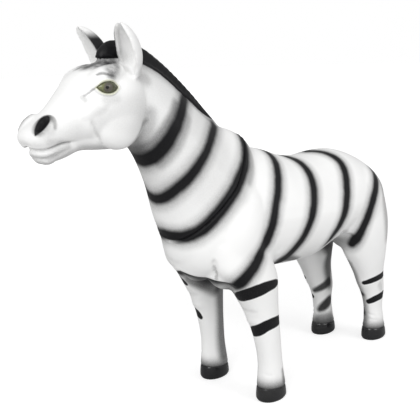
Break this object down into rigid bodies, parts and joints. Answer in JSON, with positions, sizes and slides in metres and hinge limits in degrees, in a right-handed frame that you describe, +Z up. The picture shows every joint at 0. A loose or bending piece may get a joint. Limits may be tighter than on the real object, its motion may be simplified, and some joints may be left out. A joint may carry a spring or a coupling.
{
  "type": "zebra figurine",
  "caption": "Standing soft-vinyl toy zebra with a raised mane, cast in a body and a separate head and neck that meet at a ring round the neck's base.",
  "frame": {"origin": "on the ground, under the middle of the whole figure's box", "axes": "+Z up, the zebra faces -Y, its left side is +X"},
  "size_m": [0.145, 0.621, 0.4962],
  "materials": {
    "painted_vinyl": "satin white soft vinyl with airbrushed soft-edged charcoal stripes, a charcoal mane and gloss black hooves"
  },
  "bodies": {
    "root": {"body": "painted_vinyl", "head_and_neck": "painted_vinyl"}
  },
  "joints": []
}
